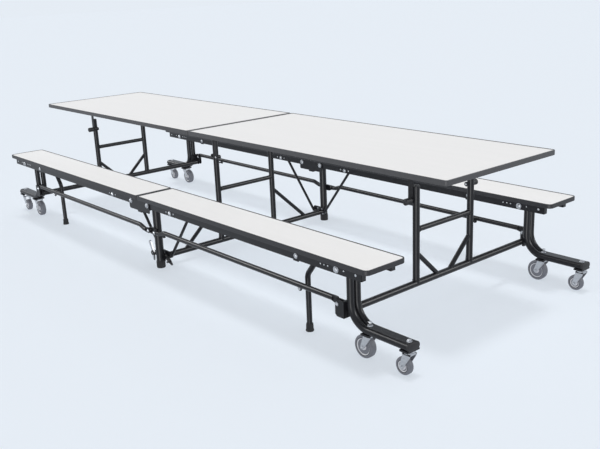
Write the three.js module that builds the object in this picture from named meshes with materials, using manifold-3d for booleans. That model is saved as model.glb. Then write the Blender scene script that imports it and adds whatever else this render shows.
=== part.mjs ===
// Folding cafeteria table with two benches, open on its casters.
// Millimetres. X runs along the table, Y across it and Z up; the origin is on the floor below the middle.
// The near side is -Y and the far side +Y. The left half is the right half turned half round about Z.
import * as THREE from "three";
import { mergeVertices } from "three/addons/utils/BufferGeometryUtils.js";
import Module from "manifold-3d";

const wasm = await Module();
wasm.setup();

// Table top
const TABLE_LENGTH = 3658;
const TABLE_WIDTH = 762;
const TABLE_HEIGHT = 737;
const TABLE_BOARD = 22;
const TABLE_CORNER = 16;

// Benches
const BENCH_LENGTH = 3474;
const BENCH_WIDTH = 229;
const BENCH_HEIGHT = 436;
const BENCH_BOARD = 20;
const BENCH_CORNER = 25;
const BENCH_CENTRE = 622;

// Board edges and the split between the halves
const EDGE_BAND = 5;
const SPLIT_GAP = 8;
const SPLIT_CORNER = 12;

// Clearances
const SEAT_GAP = 0.3;
const PIN_CLEARANCE = 0.2;
const SIDE_CLEARANCE = 0.6;

// Folding linkage: every link has the same length between its pivots
const LINK_LENGTH = 1463;
const BENCH_PIVOT_CENTRE = 85;
const BENCH_PIVOT_DROP = 21;
const ROD_PIVOT_CENTRE = 32;
const ROD_PIVOT_HEIGHT = 218;
const TABLE_PIVOT_CENTRE = 30;
const TABLE_PIVOT_HEIGHT = 565;
const PIVOT_BOLT = 6;
const ROD_PIN = 5;

// Bench rails
const RAIL_WIDTH = 25;
const RAIL_DEPTH = 38;
const RAIL_INSET = 18;
const RAIL_START = 60;
const RAIL_OVERHANG = 143;
const RAIL_TIE_WIDTH = 40;
const RAIL_TIE_THICKNESS = 5;
const RAIL_TIES = [620, 980];

// Rods below the benches
const ROD_RADIUS = 12.7;
const ROD_OFFSET = 36;
const ROD_RISE = 16;
const ROD_END_RUN = 45;
const ROD_BEND_RUN = 50;
const ROD_BEND_RADIUS = 60;
const ROD_EYE_RADIUS = 14;
const ROD_EYE_WIDTH = 13;
const ROD_FLAT = 32;
const ROD_SETBACK = 10;

// Drop legs near the ends of the benches: slanted below the near bench, cranked at the top below the far one
const NEAR_LEG_SETBACK = 247;
const FAR_LEG_SETBACK = 309;
const DROP_LEG_RADIUS = 12.7;
const DROP_LEG_INSET = 12;
const NEAR_LEG_UPPER_BEND = 337;
const NEAR_LEG_LOWER_BEND = 270;
const NEAR_LEG_BEND_RADIUS = 50;
const FAR_LEG_BEND_RADIUS = 30;
const DROP_LEG_SLEEVE = 14;
const DROP_LEG_LUG = 12;
const FERRULE_RADIUS = 19;
const FERRULE_HEIGHT = 38;
const FERRULE_FLOOR = 7;

// Lock braces between the bench rails and the catches of the centre frame
const BRACE_TOP_X = 305;
const BRACE_TOP_DROP = 30;
const BRACE_FOOT_X = 46;
const BRACE_FOOT_HEIGHT = 62;
const BRACE_RADIUS = 8;
const BRACE_INSET = 44;
const BRACE_FOOT_RADIUS = 7;
const BRACE_SLEEVE = 11;

// End frames
const FRAME_TUBE = 16;
const END_POST_OUTSET = 15;
const END_TUBE_HEIGHT = 178;
const END_POST_Y = 191;
const END_POST_RISE = 65;
const END_RAIL_HEIGHT = 431;
const RAIL_TUBE = 12.7;
const STRUT_TUBE = 11;
const END_STRUT_TOP = 325;
const END_STRUT_FOOT_Y = 36;

// Swept bench supports with their casters
const SWOOP_TUBE = 16;
const SWOOP_SPACING = 38;
const SWOOP_FOOT_HEIGHT = 134;
const SWOOP_FOOT_REACH = 321;
const SWOOP_BEND = 100;
const SWOOP_HEAD = 17;
const FOOT_CAP = 5;
const CHEEK_THICKNESS = 4;
const CHEEK_RISE = 19;
const CHEEK_REACH = 12;

// Casters
const FIXED_CASTER_REACH = 91;
const FIXED_WHEEL_RADIUS = 51;
const FIXED_WHEEL_WIDTH = 32;
const FIXED_TRAIL = 28;
const SWIVEL_CASTER_REACH = 303;
const SWIVEL_WHEEL_RADIUS = 38;
const SWIVEL_WHEEL_WIDTH = 28;
const SWIVEL_TRAIL = 25;
const CASTER_PLATE = 6;
const CASTER_PLATE_LENGTH = 44;
const SWIVEL_RACE_HEIGHT = 10;
const SWIVEL_RACE_RADIUS = 22;
const FORK_THICKNESS = 4;
const FORK_SIDE_GAP = 2.5;
const FORK_CROWN = 7;
const AXLE = 5;
const AXLE_BOSS = 11;
const HUB_WALL = 7;
const TREAD_CHAMFER = 4;

// Centre frame
const CENTRE_POST_Y = 200;
const CENTRE_TUBE_HEIGHT = 60;
const CENTRE_POST_GAP = 15;
const CENTRE_RAIL_HEIGHT = 369;
const CENTRE_STRUT_TOP = 296;
const CENTRE_STRUT_FOOT_Y = 459;
const HEAD_HALF_WIDTH = 8;
const HEAD_HALF_HEIGHT = 9;
const LEG_RADIUS = 22.2;
const LEG_FOOT_RADIUS = 25;
const LEG_FOOT_HEIGHT = 40;
const LEG_TOP = 364;
const SADDLE_WIDTH = 40;
const SADDLE_DEPTH = 20;
const SADDLE_PLATE = 4;
const SADDLE_NOSE = 19;
const SADDLE_PLATE_RISE = 11;
const SADDLE_PLATE_DROP = 43;
const SADDLE_CORNER = 8;
const ROD_PLATE_HALF_LENGTH = 50;
const ROD_PLATE_HALF_HEIGHT = 19;
const ROD_PLATE_THICKNESS = 10;
const CATCH_INSET = 34;
const CATCH_THICKNESS = 6;
const CATCH_HEIGHT = 26;
const CATCH_OVERHANG = 16;
const CATCH_PRONG = 6;
const CATCH_GAP = 1;

// Release lever on a lug of the near centre leg
const LEVER_PIVOT_X = 42;
const LEVER_PIVOT_HEIGHT = 82;
const LEVER_TIP_X = 70;
const LEVER_RISE = 58;
const LEVER_WIDTH = 18;
const LEVER_THICKNESS = 5;
const LUG_OFFSET = 6;
const LUG_THICKNESS = 6;
const LUG_HALF_HEIGHT = 12;

// Table rails and the straps that hinge them to the posts
const TABLE_RAIL = 25;
const STRAP_THICKNESS = 4;
const STRAP_WIDTH = 28;
const STRAP_FLANGE = 60;
const PIVOT_BOSS = 11;

// How far the pivot pins stand out of what they hold
const PIN_STAND_OUT = 5;

// Facets
const TUBE_SIDES = 8;
const THIN_SIDES = 8;
const PIN_SIDES = 8;
const BEND_STEPS = 4;
const ROD_BEND_STEPS = 1;
const CORNER_STEPS = 4;
const WHEEL_SIDES = 14;

// The radius of a faceted bore that lets a pin of the given radius turn
function boreFor(radius, sides) {
  return (radius + PIN_CLEARANCE) / Math.cos(Math.PI / sides);
}

// Places that follow from the sizes above
const TABLE_UNDERSIDE = TABLE_HEIGHT - TABLE_BOARD;
const BENCH_UNDERSIDE = BENCH_HEIGHT - BENCH_BOARD;
const BENCH_PIVOT_HEIGHT = BENCH_UNDERSIDE - BENCH_PIVOT_DROP;
const BRACE_TOP_HEIGHT = BENCH_UNDERSIDE - BRACE_TOP_DROP;
const BENCH_PIVOT_END = BENCH_PIVOT_CENTRE + LINK_LENGTH;
const ROD_PIVOT_END = ROD_PIVOT_CENTRE + LINK_LENGTH;
const TABLE_PIVOT_END = TABLE_PIVOT_CENTRE + LINK_LENGTH;
const END_FRAME_X = TABLE_PIVOT_END + END_POST_OUTSET;
const NEAR_LEG_X = ROD_PIVOT_END - NEAR_LEG_SETBACK;
const FAR_LEG_X = ROD_PIVOT_END - FAR_LEG_SETBACK;
const DROP_LEG_LEAN = BENCH_PIVOT_CENTRE - ROD_PIVOT_CENTRE;
const RAIL_END = BENCH_PIVOT_END + RAIL_OVERHANG;
const SWOOP_FOOT_END = BENCH_PIVOT_END + SWOOP_FOOT_REACH;
const FIXED_CASTER_X = BENCH_PIVOT_END + FIXED_CASTER_REACH;
const SWIVEL_CASTER_X = BENCH_PIVOT_END + SWIVEL_CASTER_REACH;
const END_POST_TOP = TABLE_PIVOT_HEIGHT + END_POST_RISE;
const CENTRE_POST_TOP = TABLE_UNDERSIDE - TABLE_RAIL - CENTRE_POST_GAP;
const RAIL_OFFSET = BENCH_WIDTH / 2 - RAIL_INSET - RAIL_WIDTH / 2;
const RAIL_INNER_FACE = RAIL_OFFSET - RAIL_WIDTH / 2;
const RAIL_OUTER_FACE = RAIL_OFFSET + RAIL_WIDTH / 2;
const RAIL_TOP = BENCH_UNDERSIDE - SEAT_GAP;
const ROD_LINE_HEIGHT = ROD_PIVOT_HEIGHT + ROD_RISE;
const SWOOP_BOTTOM = SWOOP_FOOT_HEIGHT - SWOOP_TUBE;
const SWOOP_HALF_WIDTH = SWOOP_SPACING / 2 + SWOOP_TUBE;
const PIN_HOLE = boreFor(PIVOT_BOLT, PIN_SIDES);
const ROD_HOLE = boreFor(ROD_PIN, PIN_SIDES);
const CHEEK_GAP = ROD_EYE_WIDTH / 2 + SIDE_CLEARANCE;
const STRAP_FACE = FRAME_TUBE + SIDE_CLEARANCE;
const TABLE_RAIL_Y = (END_POST_Y + CENTRE_POST_Y) / 2;

const steel = new THREE.MeshStandardMaterial({ color: 0x222226, roughness: 0.42, metalness: 0.5 });
const zinc = new THREE.MeshStandardMaterial({ color: 0xb9bbbf, roughness: 0.35, metalness: 0.9 });
const laminate = new THREE.MeshStandardMaterial({ color: 0xe9e9e9, roughness: 0.45, metalness: 0 });
const edging = new THREE.MeshStandardMaterial({ color: 0x2c2c30, roughness: 0.5, metalness: 0 });
const rubber = new THREE.MeshStandardMaterial({ color: 0x17171a, roughness: 0.85, metalness: 0 });
const tread = new THREE.MeshStandardMaterial({ color: 0x7d8088, roughness: 0.6, metalness: 0 });

const point = (x, y, z) => new THREE.Vector3(x, y, z);

function block(x0, x1, y0, y1, z0, z1) {
  const shape = new THREE.BoxGeometry(Math.abs(x1 - x0), Math.abs(y1 - y0), Math.abs(z1 - z0));
  return shape.translate((x0 + x1) / 2, (y0 + y1) / 2, (z0 + z1) / 2);
}

function bar(from, to, radius, sides = TUBE_SIDES) {
  const axis = to.clone().sub(from);
  const shape = new THREE.CylinderGeometry(radius, radius, axis.length(), sides);
  const turn = new THREE.Quaternion().setFromUnitVectors(point(0, 1, 0), axis.normalize());
  return shape.applyQuaternion(turn).translate(...from.clone().add(to).multiplyScalar(0.5).toArray());
}

// A cross pin: a bar along Y at a pivot
const crossPin = (x, z, y0, y1, radius, sides = PIN_SIDES) =>
  bar(point(x, y0, z), point(x, y1, z), radius, sides);

// A route with a ring of facets only where the tube starts, bends or ends
class BentRoute extends THREE.Curve {
  constructor(corners, bendRadius, bendSteps) {
    super();
    this.bendSteps = bendSteps;
    this.rings = [];
    const last = corners.length - 1;
    const first = corners[1].clone().sub(corners[0]).normalize();
    this.rings.push({ place: corners[0].clone(), tangent: first });
    for (let i = 1; i < last; i++) this.addBend(corners[i - 1], corners[i], corners[i + 1], bendRadius);
    const end = corners[last].clone().sub(corners[last - 1]).normalize();
    this.rings.push({ place: corners[last].clone(), tangent: end });
  }

  addBend(before, corner, after, bendRadius) {
    const inward = corner.clone().sub(before).normalize();
    const outward = after.clone().sub(corner).normalize();
    const angle = inward.angleTo(outward);
    const start = corner.clone().addScaledVector(inward, -bendRadius * Math.tan(angle / 2));
    const side = outward.clone().addScaledVector(inward, -outward.dot(inward)).normalize();
    for (let step = 0; step <= this.bendSteps; step++) {
      const swept = (angle * step) / this.bendSteps;
      const place = start.clone().addScaledVector(inward, bendRadius * Math.sin(swept));
      place.addScaledVector(side, bendRadius * (1 - Math.cos(swept)));
      const tangent = inward.clone().multiplyScalar(Math.cos(swept)).addScaledVector(side, Math.sin(swept));
      this.rings.push({ place, tangent });
    }
  }

  getSpacedPoints() {
    return this.rings.map((ring) => ring.place);
  }

  getTangentAt(share, target = point(0, 0, 0)) {
    return target.copy(this.rings[Math.round(share * (this.rings.length - 1))].tangent);
  }
}

function circle(radius, sides) {
  const outline = new THREE.Shape();
  for (let i = 0; i < sides; i++) {
    const angle = (2 * Math.PI * i) / sides;
    const step = i === 0 ? "moveTo" : "lineTo";
    outline[step](radius * Math.cos(angle), radius * Math.sin(angle));
  }
  outline.closePath();
  return outline;
}

function bentTube(corners, bendRadius, radius, sides = TUBE_SIDES, bendSteps = BEND_STEPS) {
  const extrudePath = new BentRoute(corners, bendRadius, bendSteps);
  const steps = extrudePath.rings.length - 1;
  return new THREE.ExtrudeGeometry(circle(radius, sides), { steps, extrudePath, bevelEnabled: false });
}

// A flat plate in the XZ plane, its outline given as [x, z] points and its thickness from y0 to y1
function plate(outline, y0, y1) {
  const low = Math.min(y0, y1);
  const shape = new THREE.Shape(outline.map(([x, z]) => new THREE.Vector2(x, -z)));
  const solid = new THREE.ExtrudeGeometry(shape, { depth: Math.abs(y1 - y0), bevelEnabled: false });
  return solid.rotateX(-Math.PI / 2).translate(0, low, 0);
}

// The points of a half circle below a centre, from its left end to its right end
function nosePoints(x, z, radius) {
  const points = [];
  for (let i = 0; i <= CORNER_STEPS; i++) {
    const angle = Math.PI + (Math.PI * i) / CORNER_STEPS;
    points.push([x + radius * Math.cos(angle), z + radius * Math.sin(angle)]);
  }
  return points;
}

function solidOf(geometry) {
  const bare = geometry.index ? geometry.toNonIndexed() : geometry.clone();
  bare.deleteAttribute("normal");
  bare.deleteAttribute("uv");
  const merged = mergeVertices(bare, 1e-3);
  const vertProperties = new Float32Array(merged.attributes.position.array);
  const triVerts = new Uint32Array(merged.index.array);
  return new wasm.Manifold(new wasm.Mesh({ numProp: 3, vertProperties, triVerts }));
}

function weld(pieces, cuts = []) {
  let solid = solidOf(pieces[0]);
  for (const piece of pieces.slice(1)) solid = solid.add(solidOf(piece));
  for (const cut of cuts) solid = solid.subtract(solidOf(cut));
  const mesh = solid.getMesh();
  const geometry = new THREE.BufferGeometry();
  geometry.setAttribute("position", new THREE.BufferAttribute(new Float32Array(mesh.vertProperties), 3));
  geometry.setIndex(new THREE.BufferAttribute(new Uint32Array(mesh.triVerts), 1));
  geometry.computeVertexNormals();
  return geometry;
}

function addMesh(group, name, geometry, material) {
  const mesh = new THREE.Mesh(geometry, material);
  mesh.name = name;
  group.add(mesh);
}

// Half of a board, from the split to its rounded outer end
function halfBoardOutline(length, width, corner, inset) {
  const x0 = SPLIT_GAP / 2 + inset;
  const x1 = length / 2 - inset;
  const y1 = width / 2 - inset;
  const outer = corner - inset;
  const inner = SPLIT_CORNER - inset;
  const outline = new THREE.Shape();
  outline.moveTo(x0 + inner, -y1);
  outline.lineTo(x1 - outer, -y1);
  outline.absarc(x1 - outer, -y1 + outer, outer, -Math.PI / 2, 0);
  outline.lineTo(x1, y1 - outer);
  outline.absarc(x1 - outer, y1 - outer, outer, 0, Math.PI / 2);
  outline.lineTo(x0 + inner, y1);
  outline.absarc(x0 + inner, y1 - inner, inner, Math.PI / 2, Math.PI);
  outline.lineTo(x0, -y1 + inner);
  outline.absarc(x0 + inner, -y1 + inner, inner, Math.PI, 1.5 * Math.PI);
  return outline;
}

function addBoard(group, name, length, width, height, thickness, corner, centre) {
  const settings = { depth: thickness, bevelEnabled: false, curveSegments: CORNER_STEPS };
  const core = new THREE.ExtrudeGeometry(halfBoardOutline(length, width, corner, EDGE_BAND), settings);
  const rim = halfBoardOutline(length, width, corner, 0);
  rim.holes.push(halfBoardOutline(length, width, corner, EDGE_BAND - SEAT_GAP));
  const band = new THREE.ExtrudeGeometry(rim, settings);
  addMesh(group, `${name}_board`, core.translate(0, centre, height - thickness), laminate);
  addMesh(group, `${name}_edge_band`, band.translate(0, centre, height - thickness), edging);
}

// A pin along Y about a centre, standing out a little at each end of what it holds
function pivotPin(x, z, y, reach, radius) {
  const end = reach + PIN_STAND_OUT;
  return crossPin(x, z, y - end, y + end, radius);
}

// A strap under the table: it hangs beside a post, on the given side, from a flange under the board
function hingeStrap(x, y, side) {
  const top = TABLE_UNDERSIDE - SEAT_GAP;
  const half = STRAP_WIDTH / 2;
  const outline = nosePoints(x, TABLE_PIVOT_HEIGHT, half);
  outline.push([x + half, top], [x - half, top]);
  const face = y + side * STRAP_FACE;
  const outer = face + side * STRAP_THICKNESS;
  const reach = STRAP_FLANGE / 2;
  const flange = block(x - half, x + half, y - reach, y + reach, top - STRAP_THICKNESS, top);
  const hole = crossPin(x, TABLE_PIVOT_HEIGHT, y, outer + side * STRAP_THICKNESS, PIN_HOLE);
  return weld([plate(outline, face, outer), flange], [hole]);
}

// The boss and pin of a post that hold the strap beside it
function strapPin(x, y, side, back) {
  const z = TABLE_PIVOT_HEIGHT;
  const pinStart = y - side * (back + PIN_STAND_OUT);
  const pinEnd = y + side * (STRAP_FACE + STRAP_THICKNESS + PIN_STAND_OUT);
  const boss = crossPin(x, z, y - side * back, y + side * FRAME_TUBE, PIVOT_BOSS);
  return [boss, crossPin(x, z, pinStart, pinEnd, PIVOT_BOLT)];
}

// The steel below a table board: two rails and their ties, with a hinge strap at each end of a rail
function tableRails() {
  const top = TABLE_UNDERSIDE - SEAT_GAP;
  const pieces = [];
  for (const side of [-1, 1]) {
    pieces.push(hingeStrap(TABLE_PIVOT_END, side * END_POST_Y, side));
    pieces.push(hingeStrap(TABLE_PIVOT_CENTRE, side * CENTRE_POST_Y, -1));
    const y = side * TABLE_RAIL_Y;
    const y0 = y - TABLE_RAIL / 2;
    pieces.push(block(TABLE_PIVOT_CENTRE, TABLE_PIVOT_END, y0, y0 + TABLE_RAIL, top - TABLE_RAIL, top));
  }
  for (const x of RAIL_TIES) {
    const half = RAIL_TIE_WIDTH / 2;
    pieces.push(block(x - half, x + half, -TABLE_RAIL_Y, TABLE_RAIL_Y, top - RAIL_TIE_THICKNESS, top));
  }
  return weld(pieces);
}

function addTableHalf(group, end) {
  addBoard(group, `${end}_table`, TABLE_LENGTH, TABLE_WIDTH, TABLE_HEIGHT, TABLE_BOARD, TABLE_CORNER, 0);
  addMesh(group, `${end}_table_rails`, tableRails(), steel);
}

// The welded ladder below a bench board, with the pins that carry the drop leg and the lock brace
function benchRails(centre, legX) {
  const bottom = RAIL_TOP - RAIL_DEPTH;
  const pieces = [];
  const holes = [];
  for (const offset of [-RAIL_OFFSET, RAIL_OFFSET]) {
    const y = centre + offset;
    pieces.push(block(RAIL_START, RAIL_END, y - RAIL_WIDTH / 2, y + RAIL_WIDTH / 2, bottom, RAIL_TOP));
    for (const x of [BENCH_PIVOT_CENTRE, BENCH_PIVOT_END]) {
      holes.push(crossPin(x, BENCH_PIVOT_HEIGHT, y - RAIL_WIDTH, y + RAIL_WIDTH, PIN_HOLE));
    }
  }
  for (const x of RAIL_TIES) {
    const reach = RAIL_TIE_WIDTH / 2;
    const under = RAIL_TOP - RAIL_TIE_THICKNESS;
    pieces.push(block(x - reach, x + reach, centre - RAIL_OFFSET, centre + RAIL_OFFSET, under, RAIL_TOP));
  }
  const pinEnds = [centre - RAIL_OFFSET, centre + RAIL_OFFSET];
  pieces.push(crossPin(legX + DROP_LEG_LEAN, BENCH_PIVOT_HEIGHT, ...pinEnds, PIVOT_BOLT));
  pieces.push(crossPin(BRACE_TOP_X, BRACE_TOP_HEIGHT, ...pinEnds, PIVOT_BOLT));
  return weld(pieces, holes);
}

// A sleeve between the rails, bored for its pin
const sleeve = (x, z, centre, radius) =>
  crossPin(x, z, centre - RAIL_INNER_FACE + SEAT_GAP, centre + RAIL_INNER_FACE - SEAT_GAP, radius);
const sleeveBore = (x, z, centre) =>
  crossPin(x, z, centre - RAIL_OUTER_FACE, centre + RAIL_OUTER_FACE, PIN_HOLE);

function dropLeg(centre, out, legX) {
  const y = centre - out * DROP_LEG_INSET;
  const topX = legX + DROP_LEG_LEAN;
  const slanted = [point(topX, y, NEAR_LEG_UPPER_BEND), point(legX, y, NEAR_LEG_LOWER_BEND)];
  const cranked = [point(legX, y, BENCH_PIVOT_HEIGHT)];
  const near = legX === NEAR_LEG_X;
  const corners = [
    point(topX, y, BENCH_PIVOT_HEIGHT),
    ...(near ? slanted : cranked),
    point(legX, y, FERRULE_FLOOR + SEAT_GAP),
  ];
  const bend = near ? NEAR_LEG_BEND_RADIUS : FAR_LEG_BEND_RADIUS;
  const pinEnd = centre + out * (ROD_OFFSET + ROD_RADIUS);
  const pieces = [
    bentTube(corners, bend, DROP_LEG_RADIUS, THIN_SIDES),
    sleeve(topX, BENCH_PIVOT_HEIGHT, centre, DROP_LEG_SLEEVE),
    crossPin(legX, ROD_PIVOT_HEIGHT, y, pinEnd, ROD_PIN),
  ];
  return weld(pieces, [sleeveBore(topX, BENCH_PIVOT_HEIGHT, centre)]);
}

function ferrule(centre, out, legX) {
  const bore = boreFor(DROP_LEG_RADIUS, TUBE_SIDES);
  const neck = DROP_LEG_RADIUS + 3;
  const profile = [
    [0, 0],
    [FERRULE_RADIUS, 0],
    [FERRULE_RADIUS, FERRULE_FLOOR],
    [neck, FERRULE_HEIGHT],
    [bore, FERRULE_HEIGHT],
    [bore, FERRULE_FLOOR],
    [0, FERRULE_FLOOR],
  ].map(([r, z]) => new THREE.Vector2(r, z));
  const turned = new THREE.LatheGeometry(profile, TUBE_SIDES).rotateX(Math.PI / 2);
  return turned.translate(legX, centre - out * DROP_LEG_INSET, 0);
}

// The rod below a bench: bent at the centre leg, with an eye at each end and a lug for the drop leg
function benchRod(centre, out, legX) {
  const y = centre + out * ROD_OFFSET;
  const at = (x, z) => point(x, y, z);
  const bends = [
    at(ROD_PIVOT_CENTRE, ROD_PIVOT_HEIGHT),
    at(ROD_PIVOT_CENTRE + ROD_END_RUN, ROD_PIVOT_HEIGHT),
    at(ROD_PIVOT_CENTRE + ROD_END_RUN + ROD_BEND_RUN, ROD_LINE_HEIGHT),
    at(ROD_PIVOT_END - ROD_SETBACK, ROD_LINE_HEIGHT),
  ];
  const half = ROD_EYE_WIDTH / 2;
  const lugEnds = [y - half / 2, y + half / 2];
  const pieces = [bentTube(bends, ROD_BEND_RADIUS, ROD_RADIUS, THIN_SIDES, ROD_BEND_STEPS)];
  const holes = [];
  for (const x of [ROD_PIVOT_CENTRE, ROD_PIVOT_END]) {
    const z0 = ROD_PIVOT_HEIGHT - ROD_FLAT;
    const z1 = ROD_PIVOT_HEIGHT + ROD_FLAT;
    const sides = [-1, 1].map((side) =>
      block(x - ROD_FLAT, x + ROD_FLAT, y + side * half, y + side * 2 * ROD_RADIUS, z0, z1),
    );
    pieces.push(crossPin(x, ROD_PIVOT_HEIGHT, y - half, y + half, ROD_EYE_RADIUS));
    holes.push(...sides, crossPin(x, ROD_PIVOT_HEIGHT, y - ROD_EYE_WIDTH, y + ROD_EYE_WIDTH, ROD_HOLE));
  }
  pieces.push(crossPin(legX, ROD_PIVOT_HEIGHT, ...lugEnds, DROP_LEG_LUG));
  holes.push(crossPin(legX, ROD_PIVOT_HEIGHT, y - ROD_EYE_WIDTH, y + ROD_EYE_WIDTH, ROD_HOLE));
  return weld(pieces, holes);
}

// The lock brace: a thin tube with a sleeve at the bench and a foot pin that sits in a catch
function lockBrace(centre, out) {
  const y = centre - out * BRACE_INSET;
  const top = point(BRACE_TOP_X, y, BRACE_TOP_HEIGHT);
  const foot = point(BRACE_FOOT_X, y, BRACE_FOOT_HEIGHT);
  const pinEnd = centre - out * (CATCH_INSET - CATCH_THICKNESS - CATCH_GAP);
  const pieces = [
    sleeve(BRACE_TOP_X, BRACE_TOP_HEIGHT, centre, BRACE_SLEEVE),
    bar(top, foot, BRACE_RADIUS, THIN_SIDES),
    crossPin(BRACE_FOOT_X, BRACE_FOOT_HEIGHT, y - out * BRACE_RADIUS, pinEnd, BRACE_FOOT_RADIUS),
  ];
  return weld(pieces, [sleeveBore(BRACE_TOP_X, BRACE_TOP_HEIGHT, centre)]);
}

function addBenchHalf(group, place, out) {
  const centre = out * BENCH_CENTRE;
  const name = `${place}_bench`;
  const legX = place.startsWith("near") ? NEAR_LEG_X : FAR_LEG_X;
  addBoard(group, name, BENCH_LENGTH, BENCH_WIDTH, BENCH_HEIGHT, BENCH_BOARD, BENCH_CORNER, centre);
  addMesh(group, `${name}_rails`, benchRails(centre, legX), steel);
  addMesh(group, `${place}_rod`, benchRod(centre, out, legX), steel);
  addMesh(group, `${place}_drop_leg`, dropLeg(centre, out, legX), steel);
  addMesh(group, `${place}_ferrule`, ferrule(centre, out, legX), rubber);
  addMesh(group, `${place}_lock_brace`, lockBrace(centre, out), steel);
}

// A welded frame of a low cross tube, two posts, a rail between them and two struts
function postFrame(x, tubeHeight, tubeReach, postY, postTop, railHeight, strutTop, strutFootY) {
  const pieces = [bar(point(x, -tubeReach, tubeHeight), point(x, tubeReach, tubeHeight), FRAME_TUBE)];
  pieces.push(bar(point(x, -postY, railHeight), point(x, postY, railHeight), RAIL_TUBE, THIN_SIDES));
  for (const side of [-1, 1]) {
    const y = side * postY;
    pieces.push(bar(point(x, y, tubeHeight), point(x, y, postTop), FRAME_TUBE));
    const strutFoot = point(x, side * strutFootY, tubeHeight);
    pieces.push(bar(point(x, y, strutTop), strutFoot, STRUT_TUBE, THIN_SIDES));
  }
  return pieces;
}

function endFrame() {
  const reach = BENCH_CENTRE + SWOOP_SPACING / 2;
  const pieces = postFrame(
    END_FRAME_X, END_TUBE_HEIGHT, reach, END_POST_Y, END_POST_TOP,
    END_RAIL_HEIGHT, END_STRUT_TOP, END_STRUT_FOOT_Y,
  );
  for (const side of [-1, 1]) pieces.push(...strapPin(TABLE_PIVOT_END, side * END_POST_Y, side, FRAME_TUBE));
  return weld(pieces);
}

// A stadium outline round both foot tubes, closing their ends
function footCap(centre) {
  const half = SWOOP_SPACING / 2;
  const outline = new THREE.Shape();
  outline.absarc(half, 0, SWOOP_TUBE, -Math.PI / 2, Math.PI / 2);
  outline.absarc(-half, 0, SWOOP_TUBE, Math.PI / 2, 1.5 * Math.PI);
  const settings = { depth: FOOT_CAP, bevelEnabled: false, curveSegments: CORNER_STEPS };
  const cap = new THREE.ExtrudeGeometry(outline, settings);
  cap.rotateX(Math.PI / 2).rotateZ(Math.PI / 2);
  return cap.translate(SWOOP_FOOT_END, centre, SWOOP_FOOT_HEIGHT);
}

// The gusset that joins a swept support to the cross tube, with two cheeks that hold the rod's eye
function gusset(centre, out) {
  const x1 = BENCH_PIVOT_END - SWOOP_TUBE + 3;
  const x0 = END_FRAME_X + FRAME_TUBE + SEAT_GAP;
  const rodY = centre + out * ROD_OFFSET;
  const outer = out * (CHEEK_GAP + CHEEK_THICKNESS);
  const z0 = END_TUBE_HEIGHT - FRAME_TUBE;
  const z1 = ROD_PIVOT_HEIGHT + CHEEK_RISE;
  const cheekEnd = ROD_PIVOT_END - CHEEK_REACH;
  const pieces = [block(x0, x1, centre - SWOOP_SPACING / 2, rodY + outer, z0, z1)];
  for (const side of [-1, 1]) {
    const near = rodY + side * CHEEK_GAP;
    pieces.push(block(cheekEnd, x1, near, near + side * CHEEK_THICKNESS, z0, z1));
  }
  return pieces;
}

function swoop(centre, out) {
  const pieces = [];
  for (const side of [-1, 1]) {
    const y = centre + (side * SWOOP_SPACING) / 2;
    const corners = [
      point(BENCH_PIVOT_END, y, BENCH_PIVOT_HEIGHT),
      point(BENCH_PIVOT_END, y, SWOOP_FOOT_HEIGHT),
      point(SWOOP_FOOT_END, y, SWOOP_FOOT_HEIGHT),
    ];
    pieces.push(bentTube(corners, SWOOP_BEND, SWOOP_TUBE));
  }
  pieces.push(sleeve(BENCH_PIVOT_END, BENCH_PIVOT_HEIGHT, centre, SWOOP_HEAD));
  pieces.push(footCap(centre), ...gusset(centre, out));
  for (const x of [FIXED_CASTER_X, SWIVEL_CASTER_X]) {
    const half = CASTER_PLATE_LENGTH / 2;
    const y0 = centre - SWOOP_HALF_WIDTH;
    const y1 = centre + SWOOP_HALF_WIDTH;
    pieces.push(block(x - half, x + half, y0, y1, SWOOP_BOTTOM - CASTER_PLATE, SWOOP_BOTTOM + 2));
  }
  const rodY = centre + out * ROD_OFFSET;
  pieces.push(pivotPin(BENCH_PIVOT_END, BENCH_PIVOT_HEIGHT, centre, RAIL_OUTER_FACE, PIVOT_BOLT));
  pieces.push(pivotPin(ROD_PIVOT_END, ROD_PIVOT_HEIGHT, rodY, CHEEK_GAP + CHEEK_THICKNESS, ROD_PIN));
  return weld(pieces);
}

// A caster fork: a crown over the wheel, two side plates and the axle
function casterFork(stemX, centre, wheelRadius, wheelWidth, trail, top) {
  const axleX = stemX - trail;
  const inside = wheelWidth / 2 + FORK_SIDE_GAP;
  const outside = inside + FORK_THICKNESS;
  const crownX0 = axleX - AXLE_BOSS;
  const crownX1 = stemX + SWIVEL_RACE_RADIUS;
  const outline = nosePoints(axleX, wheelRadius, AXLE_BOSS);
  outline.push([crownX1, top], [crownX0, top]);
  const pieces = [block(crownX0, crownX1, centre - outside, centre + outside, top - FORK_CROWN, top)];
  for (const side of [-1, 1]) {
    pieces.push(plate(outline, centre + side * inside, centre + side * outside));
  }
  pieces.push(crossPin(axleX, wheelRadius, centre - outside - 2, centre + outside + 2, AXLE));
  return pieces;
}

function fixedFork(centre) {
  const top = SWOOP_BOTTOM - CASTER_PLATE - SEAT_GAP;
  return weld(casterFork(FIXED_CASTER_X, centre, FIXED_WHEEL_RADIUS, FIXED_WHEEL_WIDTH, FIXED_TRAIL, top));
}

function swivelFork(centre) {
  const raceTop = SWOOP_BOTTOM - CASTER_PLATE - SEAT_GAP;
  const top = raceTop - SWIVEL_RACE_HEIGHT;
  const x = SWIVEL_CASTER_X;
  const race = bar(point(x, centre, top - 1), point(x, centre, raceTop), SWIVEL_RACE_RADIUS);
  const fork = casterFork(x, centre, SWIVEL_WHEEL_RADIUS, SWIVEL_WHEEL_WIDTH, SWIVEL_TRAIL, top);
  return weld([...fork, race]);
}

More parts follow.
